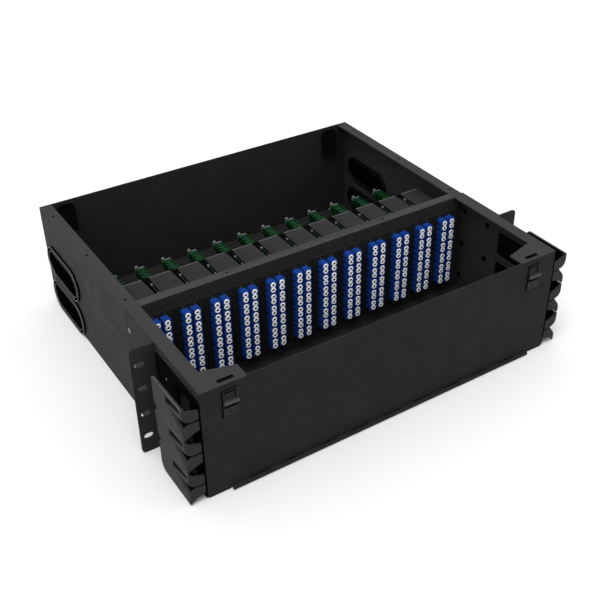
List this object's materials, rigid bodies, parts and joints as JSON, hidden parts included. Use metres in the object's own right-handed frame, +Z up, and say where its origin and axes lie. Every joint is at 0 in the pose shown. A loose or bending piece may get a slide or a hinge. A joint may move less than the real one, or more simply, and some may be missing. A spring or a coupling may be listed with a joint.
{
  "type": "fibre patch chassis",
  "caption": "Rack chassis for patching optical fibre: folded sheet tray with drop-down doors front and rear, cable bend guides, and upright sliding cassettes of capped duplex adapters.",
  "frame": {"origin": "middle of the rack slot pattern on the rear faces of the rack ears", "axes": "+X to the right seen from the front, +Y to the rear, +Z up"},
  "size_m": [0.4826, 0.4094, 0.129],
  "materials": {
    "black_powder_coat": "fine matt powder coat",
    "zinc_steel": "dark zinc",
    "black_plastic": "satin moulding",
    "grey_plastic": "matt",
    "cassette_plastic": "matt moulding",
    "blue_plastic": "gloss moulding",
    "white_plastic": "soft gloss"
  },
  "bodies": {
    "chassis": {"chassis_floor": "black_powder_coat", "left_side_wall": "black_powder_coat", "right_side_wall": "black_powder_coat", "front_corner_gussets": "black_powder_coat", "bulkhead_frame": "black_powder_coat", "left_rack_ear": "black_powder_coat", "right_rack_ear": "black_powder_coat", "ear_screws": "zinc_steel", "front_hinge_leaf": "black_powder_coat", "front_hinge_pin": "zinc_steel", "rear_hinge_leaf": "black_powder_coat", "rear_hinge_pin": "zinc_steel", "left_cable_guide": "black_plastic", "right_cable_guide": "black_plastic", "port_rims": "grey_plastic"},
    "front_door": {"front_door": "black_powder_coat", "front_latch_housings": "black_plastic"},
    "rear_door": {"rear_door": "black_powder_coat", "rear_latch_housings": "black_plastic"},
    "front_left_latch": {"front_left_latch_slider": "black_plastic"},
    "front_right_latch": {"front_right_latch_slider": "black_plastic"},
    "rear_left_latch": {"rear_left_latch_slider": "black_plastic"},
    "rear_right_latch": {"rear_right_latch_slider": "black_plastic"},
    "cassette_01": {"cassette_01_case": "cassette_plastic", "cassette_01_adapters": "blue_plastic", "cassette_01_dust_caps": "white_plastic"},
    "cassette_02": {"cassette_02_case": "cassette_plastic", "cassette_02_adapters": "blue_plastic", "cassette_02_dust_caps": "white_plastic"},
    "cassette_03": {"cassette_03_case": "cassette_plastic", "cassette_03_adapters": "blue_plastic", "cassette_03_dust_caps": "white_plastic"},
    "cassette_04": {"cassette_04_case": "cassette_plastic", "cassette_04_adapters": "blue_plastic", "cassette_04_dust_caps": "white_plastic"},
    "cassette_05": {"cassette_05_case": "cassette_plastic", "cassette_05_adapters": "blue_plastic", "cassette_05_dust_caps": "white_plastic"},
    "cassette_06": {"cassette_06_case": "cassette_plastic", "cassette_06_adapters": "blue_plastic", "cassette_06_dust_caps": "white_plastic"},
    "cassette_07": {"cassette_07_case": "cassette_plastic", "cassette_07_adapters": "blue_plastic", "cassette_07_dust_caps": "white_plastic"},
    "cassette_08": {"cassette_08_case": "cassette_plastic", "cassette_08_adapters": "blue_plastic", "cassette_08_dust_caps": "white_plastic"},
    "cassette_09": {"cassette_09_case": "cassette_plastic", "cassette_09_adapters": "blue_plastic", "cassette_09_dust_caps": "white_plastic"},
    "cassette_10": {"cassette_10_case": "cassette_plastic", "cassette_10_adapters": "blue_plastic", "cassette_10_dust_caps": "white_plastic"},
    "cassette_11": {"cassette_11_case": "cassette_plastic", "cassette_11_adapters": "blue_plastic", "cassette_11_dust_caps": "white_plastic"},
    "cassette_12": {"cassette_12_case": "cassette_plastic", "cassette_12_adapters": "blue_plastic", "cassette_12_dust_caps": "white_plastic"}
  },
  "joints": [
    {"name": "front_door_hinge", "type": "hinge", "parent": "chassis", "child": "front_door", "pos_m": [0, -0.0949, -0.0622], "axis": [1, 0, 0], "range_deg": [0, 90]},
    {"name": "rear_door_hinge", "type": "hinge", "parent": "chassis", "child": "rear_door", "pos_m": [0, 0.3101, -0.0622], "axis": [-1, 0, 0], "range_deg": [0, 90]},
    {"name": "front_left_latch_slide", "type": "slide", "parent": "front_door", "child": "front_left_latch", "axis": [0, 0, 1], "range_m": [0, 0.0024]},
    {"name": "front_right_latch_slide", "type": "slide", "parent": "front_door", "child": "front_right_latch", "axis": [0, 0, 1], "range_m": [0, 0.0024]},
    {"name": "rear_left_latch_slide", "type": "slide", "parent": "rear_door", "child": "rear_left_latch", "axis": [0, 0, 1], "range_m": [0, 0.0024]},
    {"name": "rear_right_latch_slide", "type": "slide", "parent": "rear_door", "child": "rear_right_latch", "axis": [0, 0, 1], "range_m": [0, 0.0024]},
    {"name": "cassette_01_slide", "type": "slide", "parent": "chassis", "child": "cassette_01", "axis": [0, -1, 0], "range_m": [0, 0.1]},
    {"name": "cassette_02_slide", "type": "slide", "parent": "chassis", "child": "cassette_02", "axis": [0, -1, 0], "range_m": [0, 0.1]},
    {"name": "cassette_03_slide", "type": "slide", "parent": "chassis", "child": "cassette_03", "axis": [0, -1, 0], "range_m": [0, 0.1]},
    {"name": "cassette_04_slide", "type": "slide", "parent": "chassis", "child": "cassette_04", "axis": [0, -1, 0], "range_m": [0, 0.1]},
    {"name": "cassette_05_slide", "type": "slide", "parent": "chassis", "child": "cassette_05", "axis": [0, -1, 0], "range_m": [0, 0.1]},
    {"name": "cassette_06_slide", "type": "slide", "parent": "chassis", "child": "cassette_06", "axis": [0, -1, 0], "range_m": [0, 0.1]},
    {"name": "cassette_07_slide", "type": "slide", "parent": "chassis", "child": "cassette_07", "axis": [0, -1, 0], "range_m": [0, 0.1]},
    {"name": "cassette_08_slide", "type": "slide", "parent": "chassis", "child": "cassette_08", "axis": [0, -1, 0], "range_m": [0, 0.1]},
    {"name": "cassette_09_slide", "type": "slide", "parent": "chassis", "child": "cassette_09", "axis": [0, -1, 0], "range_m": [0, 0.1]},
    {"name": "cassette_10_slide", "type": "slide", "parent": "chassis", "child": "cassette_10", "axis": [0, -1, 0], "range_m": [0, 0.1]},
    {"name": "cassette_11_slide", "type": "slide", "parent": "chassis", "child": "cassette_11", "axis": [0, -1, 0], "range_m": [0, 0.1]},
    {"name": "cassette_12_slide", "type": "slide", "parent": "chassis", "child": "cassette_12", "axis": [0, -1, 0], "range_m": [0, 0.1]}
  ]
}
